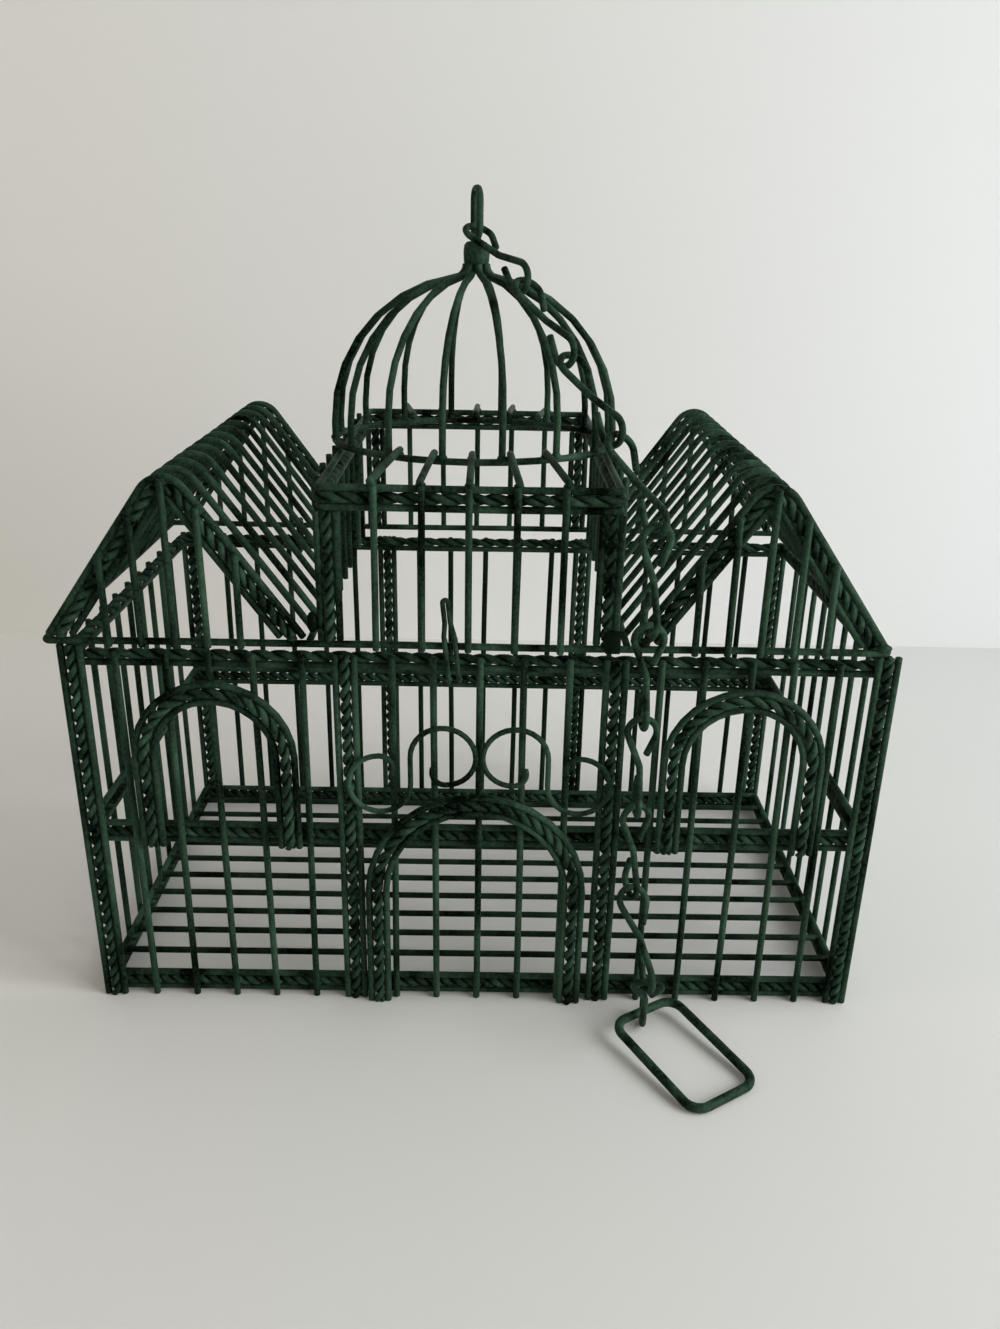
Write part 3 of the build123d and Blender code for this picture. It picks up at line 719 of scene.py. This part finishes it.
for name, x in (("left", lidX - gableX), ("right", lidX + gableX)):
    bm = newPiece()
    lift = lidHalf + solid["wireTip"] * cos(slope)
    for y in (-bandY, bandY):
        for inset in (0, 2 * solid["lay"]):
            layWire(bm, *gableLine(x, y, inset, lift), wires["thick"])
    finishPiece(name + "GableWires", bm, "lid", [name + "_gable_wires"])

    bm = newPiece()
    lift = lidHalf + solid["ropeTip"] * cos(slope)
    for y in (-bandY, bandY):
        start, heading, moves = gableLine(x, y, solid["lay"], lift)
        layRope(bm, start, heading, moves, ropeTurn["gable"])
        for foot in (start, walk(start, heading, moves)[0]):  # soldered to the base wire
            weld(bm, foot - up * roof["weld"] / 2, roof["weld"], roof["bandStretch"])
    finishPiece(name + "GableRopes", bm, "lid", [name + "_gable_ropes"], ropeCoat)

    bm = newPiece()
    straightWires(bm, name + "_gable_bars", wires["barThick"], right * lid["lean"])
    for low, high in solidBoxes(name + "_gable_bars"):
        inward = -1 if high.y > 0 else 1
        middle = (low + high) / 2
        y = middle.y + inward * solid["wireFace"]
        top = high.z - roof["barTopDrop"]
        weld(bm, (middle.x, y, top), roof["weld"], roof["barTopStretch"])
        weld(bm, (middle.x, y, lidZ), roof["weld"], roof["barFootStretch"])
    finishPiece(name + "GableBars", bm, "lid", [name + "_gable_bars"])

    bm = newPiece()
    for low, high in solidBoxes(name + "_roof_wires"):
        start, heading, moves = gableLine(x, (low.y + high.y) / 2, 0, lidHalf * sin(slope))
        layWire(bm, start, heading, moves, wires["thick"])
        for foot in (start, walk(start, heading, moves)[0]):
            weld(bm, foot, roof["weld"], roof["wireStretch"])
    finishPiece(name + "RoofWires", bm, "lid", [name + "_roof_wires"])
print("roofs wired")

# Solder that has run into the right front gable's corner, and a lump at the eave below it
runs = {
    "webPlace": (3.8, -7.0),  # from the middle of the ridge
    "web": (3.1, (1.5, 0.3, 1.25)),
    "lumpPlace": (-2.0, 1.6),  # from the base wire's corner
    "lump": (1.9, (1.6, 1, 0.9)),
}
ridge = Vector((lidX + gableX, -bandY, nodeBox("right_gable_wires")[1].z))
eave = Vector((lidX + baseX, -baseY, lidZ))
bm = newPiece()
for corner, (aside, rise), lump in (
    (ridge, runs["webPlace"], runs["web"]),
    (eave, runs["lumpPlace"], runs["lump"]),
):
    weld(bm, corner + right * aside + up * rise, *lump)
finishPiece("gableSolder", bm, "lid", [], even=True)

# Tower bars
tower = {
    "weld": 1.3,
    "topDrop": 5.0,
    "topStretch": (1.2, 1.2, 1.2),
    "footStretch": (1.3, 1, 0.9),
}
for name, node, along in (
    ("towerFrontBars", "tower_front_bars", right),
    ("towerBackBars", "tower_back_bars", right),
    ("towerSideBars", "tower_side_bars", back),
):
    bm = newPiece()
    straightWires(bm, node, wires["barThick"], along * lid["lean"])
    for low, high in solidBoxes(node):
        seat = (low + high) / 2
        seat.z = 0
        if along == back:
            seat.x -= solid["wireFace"] * (1 if seat.x > lidX else -1)
        else:
            seat.y -= solid["wireFace"] * (1 if seat.y > 0 else -1)
            weld(bm, seat + up * lidZ, tower["weld"], tower["footStretch"])
        weld(bm, seat + up * (high.z - tower["topDrop"]), tower["weld"], tower["topStretch"])
    finishPiece(name, bm, "lid", [node])

# A sheet clip round the foot of the tower's right front post, and solder at the left one
clip = {
    "x": 45.9,
    "forward": 1.0,  # of the base wire
    "size": (5.4, 2.4, 8.2),
    "tab": (2.6, 1.8, 2.2),
    "edge": 0.5,
    "lumpX": -58.6,
    "lumpZ": 159.5,
    "lump": (2.1, (1, 1, 1.9)),
}
bm = newPiece()
clipFoot = Vector((clip["x"], -baseY - clip["forward"], lidZ - lidHalf))
clipWide, clipTall = clip["size"][0], clip["size"][2]
for size, place in (
    (clip["size"], clipFoot + up * clipTall / 2),
    (clip["tab"], clipFoot + right * clipWide / 2 + up * (clipTall - clip["tab"][2] / 2)),
):
    block = bmesh.new()
    place = Matrix.Translation(place) @ Matrix.Diagonal((*size, 1))
    bmesh.ops.create_cube(block, size=1, matrix=place)
    bmesh.ops.bevel(
        block,
        geom=block.edges,
        offset=clip["edge"],
        segments=2,
        profile=0.5,
        affect="EDGES",
        material=-1,
    )
    join(bm, block)
weld(bm, (clip["lumpX"], -bandY, clip["lumpZ"]), *clip["lump"])
# the clip takes the darkest enamel: painted shade
finishPiece("towerClip", bm, "lid", [], clipShadeCoat, even=True)

# Dome: ring, fan wires, ribs, neck and finial
dome = {
    "radius": 54.4,
    "depthRadius": 45.2,
    "y": -4.0,
    "ribs": 16,
    "ribOffset": 0.8,
    "ribTurn": 82.0,
    "weld": 1.5,
    "ribStretch": (1.2, 1.2, 0.9),
}
ringLow, ringHigh = nodeBox("dome_ring")
ringZ = (ringLow.z + ringHigh.z) / 2
axisPoint = Vector((lidX, dome["y"], 0))
# An oval of four arcs: the front and back ones are wider by so much than the ends
slim = (dome["radius"] - dome["depthRadius"]) / (sqrt(2) - 1)
tight = dome["radius"] - slim / sqrt(2)
wide = tight + slim
moves = [bend(wide, 45, up), bend(tight, 90, up), bend(wide, 90, up)]
moves += [bend(tight, 90, up), bend(wide, 45, up)]
bm = newPiece()
start = axisPoint - back * dome["depthRadius"] + up * ringZ
layWire(bm, start, right, moves, wires["thick"], closed=True)
finishPiece("domeRing", bm, "lid", ["dome_ring"])

fan = {
    "steps": (-2, -1, 0, 1, 2),
    "spread": 16.5,
    "turn": 14.5,
    "overhang": 2.5,
    "tip": 2.0,
    "bend": 2.5,
    "weldStretch": (1.2, 1.2, 0.8),
}
fanHighZ = nodeBox("fan_wires")[1].z - solid["wireFace"]
fanLowZ = fanHighZ - 2 * solid["wireTip"]
bm = newPiece()
for side in (-1, 1):
    for step in fan["steps"]:
        angle = radians(fan["turn"] * step)
        outer = Vector((lidX + step * fan["spread"], side * (bandY + fan["overhang"]), fanLowZ))
        over = axisPoint + right * dome["radius"] * sin(angle)
        over += back * side * dome["depthRadius"] * cos(angle)
        over.z = fanHighZ
        inward = Vector((over.x - outer.x, over.y - outer.y, 0)).normalized()
        climb = over - inward * wires["thick"] - outer
        tilt = inward.cross(up)
        turn = climb.angle(inward)
        ease = fan["bend"] * tan(turn / 2)
        moves = [run(climb.length - ease), bend(fan["bend"], degrees(turn), -tilt)]
        moves += [run(fan["tip"] + wires["thick"] - ease)]
        layWire(bm, outer, climb, moves, wires["thick"])
        for seat in (over, outer + inward * fan["overhang"]):
            weld(bm, seat - up * solid["wireFace"], dome["weld"], fan["weldStretch"])
finishPiece("fanWires", bm, "lid", ["fan_wires"])

neckLow, neckHigh = nodeBox("dome_neck")
ribFoot = ringZ + solid["wireTip"]
ribTurn = radians(dome["ribTurn"])
gather = solid["wireFace"] / sin(2 * pi / dome["ribs"]) + solid["wireTip"] / 2
bm = newPiece()
for k in range(dome["ribs"]):
    turn = 2 * pi * (k + 0.5) / dome["ribs"]
    foot = Vector((dome["radius"] * cos(turn), dome["depthRadius"] * sin(turn), ribFoot))
    outward = Vector((foot.x, foot.y, 0))
    radius = outward.length - dome["ribOffset"]
    flare = (dome["ribOffset"] + radius * cos(ribTurn) - gather) / (1 - cos(ribTurn))
    tilt = outward.normalized().cross(up)
    leg = neckLow.z - ribFoot - (radius + flare) * sin(ribTurn)
    moves = [run(leg), bend(radius, dome["ribTurn"], tilt)]
    if k % 2 == 0:  # every other rib runs on into the neck
        moves += [bend(flare, dome["ribTurn"], -tilt)]
    layWire(bm, axisPoint + foot, up, moves, wires["thick"])
    weld(bm, axisPoint + foot, dome["weld"], dome["ribStretch"])
finishPiece("domeRibs", bm, "lid", ["dome_ribs"])

neck = {
    "radius": 4.9,
    "steps": 24,
    "foot": ((0.9, 0.0), (0.2, 0.6)),  # inset, and height over the lower end
    "top": ((0.3, 1.4), (1.2, 0.3), (2.4, 0.0)),  # inset, and depth under the upper end
}
neckLine = [(0.0, neckLow.z)]
neckLine += [(neck["radius"] - inset, neckLow.z + height) for inset, height in neck["foot"]]
neckLine += [(neck["radius"], (neckLow.z + neckHigh.z) / 2)]
neckLine += [(neck["radius"] - inset, neckHigh.z - depth) for inset, depth in neck["top"]]
neckLine += [(0.0, neckHigh.z)]
bm = newPiece()
spots = [bm.verts.new(axisPoint + Vector((radius, 0, z))) for radius, z in neckLine]
sweep = spots + [bm.edges.new(pair) for pair in zip(spots, spots[1:])]
bmesh.ops.spin(
    bm, geom=sweep, cent=axisPoint, axis=up, angle=2 * pi, steps=neck["steps"], use_merge=True
)
bmesh.ops.remove_doubles(bm, verts=bm.verts, dist=bending["seam"])
finishPiece("domeNeck", bm, "lid", ["dome_neck"])

finial = {"thick": 2.6, "corner": 4.0, "width": 9.8, "turn": 14.0}
eyeLow, eyeHigh = nodeBox("finial_eye")
halfZ = (eyeHigh.z - eyeLow.z) / 2 - solid["wireTip"]
facing = Matrix.Rotation(radians(finial["turn"]), 3, up)
moves = hoopMoves(finial["width"] / 2, halfZ, finial["corner"], facing @ right)
bm = newPiece()
start = (eyeLow + eyeHigh) / 2 - up * halfZ
layWire(bm, start, facing @ back, moves, finial["thick"], closed=True)
finishPiece("finialEye", bm, "lid", ["finial_eye"])
print("dome closed")

joints = {joint["name"]: joint for joint in frame["joints"]}


def pivotOf(name):
    return Vector(joints[name]["pos_m"]) / mm, Vector(joints[name]["axis"]).normalized()


# Latch: a hairpin that turns on the base wire
latch = {
    "thick": 1.8,
    "halfWidth": 1.8,
    "coil": 2.65,
    "finger": 16.4,
    "drop": 12.22,
    "reach": 3.9,
    "foot": 1.5,
    "release": 14.0,
    "lean": 7.0,  # degrees, to the left at the top
    "slide": 1.2,  # to the left along the base wire
    "bow": 0.95,  # radius at the tip, where the two wires lie side by side
    "pinch": 10.0,  # degrees, by which they lean together over the coils
    "ease": 2.0,  # radius of the bends there
}
pivot = pivotOf("latch_pivot")[0]
foot = latch["foot"]
ease = latch["ease"]
pinch = radians(latch["pinch"])
coilTop = latch["coil"] + latch["thick"] / 2
toe = run(latch["reach"] + latch["coil"] - foot)
stand = run(latch["drop"] - foot + coilTop)
closeIn = (latch["halfWidth"] - latch["bow"] - 2 * ease * (1 - cos(pinch))) / sin(pinch)
slant = run(closeIn)
fingerTop = latch["finger"] - latch["bow"] - coilTop
tip = run(fingerTop - 2 * ease * sin(pinch) - closeIn * cos(pinch))
leanLeft = bend(ease, latch["pinch"], -back)
leanRight = bend(ease, latch["pinch"], back)
moves = [toe, bend(foot, 90, -right), stand, leanLeft, slant, leanRight, tip]
moves += [bend(latch["bow"], 180, -back)]
moves += [tip, leanRight, slant, leanLeft, stand, bend(foot, 90, right), toe]
bm = newPiece()
start = pivot + Vector((latch["halfWidth"], latch["reach"], -latch["drop"]))
layWire(bm, start, -back, moves, latch["thick"])
for side in (-1, 1):
    start = pivot + Vector((side * latch["halfWidth"], 0, -latch["coil"]))
    layWire(bm, start, back, [bend(latch["coil"], 360, right)], latch["thick"], closed=True)
leaning = Matrix.Rotation(radians(-latch["lean"]), 3, back)
released = Matrix.Rotation(radians(-latch["release"]), 3, right)
bmesh.ops.rotate(bm, cent=pivot, matrix=leaning, verts=bm.verts)
bmesh.ops.translate(bm, vec=right * -latch["slide"], verts=bm.verts)
bmesh.ops.rotate(bm, cent=pivot, matrix=released, verts=bm.verts)
finishPiece("latch", bm, "latch", ["latch"], chainCoat, even=True)

# Chain: each link is one wire with an eye bent at each end, square to each other
chain = {"thick": 2.5, "half": 19.0, "eye": 5.15, "cut": 0.6, "waist": 3.5, "links": 10}
eye = chain["eye"]
span = pi - acos(eye / (chain["half"] - eye))
leg = sqrt((chain["half"] - eye) ** 2 - eye**2)
rise = -eye + eye * cos(span) + chain["half"]  # of a leg's end at its eye, over the shank
reach = eye * sin(span)
swings = [f"chain_link_{number:02d}_swing" for number in range(1, chain["links"] + 1)]
swings.append("hanging_ring_swing")
for number, (swing, following) in enumerate(zip(swings, swings[1:]), 1):
    pivot, axis = pivotOf(swing)
    over = -(pivotOf(following)[0] - pivot).normalized()
    across = -axis
    aside = over.cross(across)
    shank = pivot - over * chain["half"]
    outward = (across * reach + over * rise).normalized()
    down = (across * reach - over * rise).normalized()
    onward = (aside * -reach - over * rise).normalized()
    waistTurn = acos(down.dot(onward))
    ease = chain["waist"] * tan(waistTurn / 2)
    moves = [run(leg * chain["cut"]), bend(eye, degrees(2 * span), -aside), run(leg - ease)]
    moves += [bend(chain["waist"], degrees(waistTurn), down.cross(onward)), run(leg - ease)]
    moves += [bend(eye, degrees(2 * span), across), run(leg * chain["cut"])]
    bm = newPiece()
    layWire(bm, shank + outward * leg * (1 - chain["cut"]), outward, moves, chain["thick"])
    node = f"chain_link_{number:02d}"
    finishPiece(f"chainLink{number:02d}", bm, node, [node], chainCoat, even=True)

# Hanging ring
ring = {
    "thick": 3.5,
    "width": 29.5,
    "length": 48.0,
    "corner": 6.0,
    "lie": 0.51,  # height of the far end's middle, as a share of the wire
}
pivot, axis = pivotOf("hanging_ring_swing")
tilt = asin((pivot.z - ring["thick"] * ring["lie"]) / ring["length"])
along = Vector((-axis.y, axis.x, 0)) * cos(tilt) - up * sin(tilt)
moves = hoopMoves(ring["width"] / 2, ring["length"] / 2, ring["corner"], axis.cross(along))
bm = newPiece()
layWire(bm, pivot, axis, moves, ring["thick"], closed=True)
finishPiece("hangingRing", bm, "hanging_ring", ["hanging_ring"], chainCoat, even=True)
print("chain linked")

# Floor and wall, their colours graded from left to right as painted light: lighter and warmer on
# the left, darker and more neutral on the right
stage = {
    "floorLeft": (0.86, 0.838, 0.785, 1.0),
    "floorRight": (0.645, 0.645, 0.632, 1.0),
    "wallLeft": (0.93, 0.905, 0.855, 1.0),
    "wallRight": (0.725, 0.73, 0.735, 1.0),
    "fade": 0.8,  # width of the painted light's change from left to right
    "wallY": 0.328,
    "size": 6.0,
}


def gradedLightSurface(name, leftColour, rightColour, oneSided=False):
    material, paint = newMaterial(name)
    place = paint.make("ShaderNodeTexCoord", output="Object")
    across = paint.make("ShaderNodeSeparateXYZ", {}, {0: place}) * (1 / stage["fade"]) + 0.5
    # painted light: the colour runs from the left one to the right one across the stage
    colour = paint.colours(across, leftColour, rightColour)
    surface = paint.make("ShaderNodeBsdfDiffuse", {}, {"Color": colour})
    if oneSided:  # seen from behind, the wall is out of the way
        behind = paint.make("ShaderNodeNewGeometry", output="Backfacing")
        clear = paint.make("ShaderNodeBsdfTransparent")
        surface = paint.make("ShaderNodeMixShader", {}, {0: behind, 1: surface, 2: clear})
    paint.make("ShaderNodeOutputMaterial", {}, {"Surface": surface})
    return material


def stagePlane(name, place, material):
    bm = bmesh.new()
    half = stage["size"] / 2
    bmesh.ops.create_grid(bm, x_segments=1, y_segments=1, size=half, matrix=place)
    mesh = bpy.data.meshes.new(name)
    bm.to_mesh(mesh)
    bm.free()
    mesh.materials.append(material)
    plane = bpy.data.objects.new(name, mesh)
    bpy.context.collection.objects.link(plane)


floorPaintedLight = gradedLightSurface("floor_painted_light", stage["floorLeft"], stage["floorRight"])
stagePlane("floor", Matrix.Identity(4), floorPaintedLight)
wallPaintedLight = gradedLightSurface("wall_painted_light", stage["wallLeft"], stage["wallRight"], oneSided=True)
upright = Matrix.Translation((0, stage["wallY"], stage["size"] / 2))
stagePlane("wall", upright @ Matrix.Rotation(pi / 2, 4, "X"), wallPaintedLight)

# Light: a bright room with a window on the right
room = {"colour": (1.0, 0.975, 0.93, 1.0), "strength": 0.26}
world = bpy.data.worlds.new("room")
bpy.context.scene.world = world
world.use_nodes = True
world.node_tree.nodes.clear()
sky = Shade(world.node_tree)
glow = sky.make(
    "ShaderNodeBackground", {}, {"Color": room["colour"], "Strength": room["strength"]}
)
sky.make("ShaderNodeOutputWorld", {}, {"Surface": glow})

softBoxes = {
    "window": {
        "place": (1.5, -0.1, 1.2),
        "target": (0.0, 0.2, 0.1),
        "size": 1.0,
        "power": 12.0,
        "colour": (0.94, 1.0, 1.05),
    },
    "lamp": {
        "place": (-1.3, -0.4, 1.2),
        "target": (-0.2, 0.2, 0.1),
        "size": 0.9,
        "power": 2.5,
        "colour": (1.0, 0.95, 0.86),
    },
    "front": {
        "place": (1.0, -0.55, 0.42),
        "target": (0.0, -0.08, 0.10),
        "size": 0.7,
        "power": 11.0,
        "colour": (0.98, 1.0, 0.99),
    },
}
for name, light in softBoxes.items():
    lamp = bpy.data.lights.new(name, "AREA")
    lamp.size = light["size"]
    lamp.energy = light["power"]
    lamp.color = light["colour"]
    box = bpy.data.objects.new(name, lamp)
    box.location = light["place"]
    aim = Vector(light["target"]) - Vector(light["place"])
    box.rotation_euler = aim.to_track_quat("-Z", "Y").to_euler()
    bpy.context.collection.objects.link(box)

# Camera, at the place that the photograph was taken from
view = {
    "place": (2.8, -432.9, 287.2),
    "pitch": 0.3837,  # radians, as yaw and roll are
    "yaw": -0.0112,
    "roll": -0.0204,
    "focal": 1079.6,  # pixels, as tall is
    "tall": 1329,
    "sensor": 36.0,
}
lens = bpy.data.cameras.new("camera")
lens.sensor_width = view["sensor"]
lens.lens = view["focal"] * lens.sensor_width / view["tall"]
camera = bpy.data.objects.new("camera", lens)
turned = Matrix.Rotation(view["yaw"], 4, "Z") @ Matrix.Rotation(-view["pitch"], 4, "X")
turned = turned @ Matrix.Rotation(view["roll"], 4, "Y")
forward = Matrix.Rotation(pi / 2, 4, "X")  # a camera that isn't turned looks down
camera.matrix_world = Matrix.Translation(Vector(view["place"]) * mm) @ turned @ forward
bpy.context.collection.objects.link(camera)
bpy.context.scene.camera = camera
bpy.context.scene.view_settings.view_transform = "Standard"
print("stage, lights and camera set")
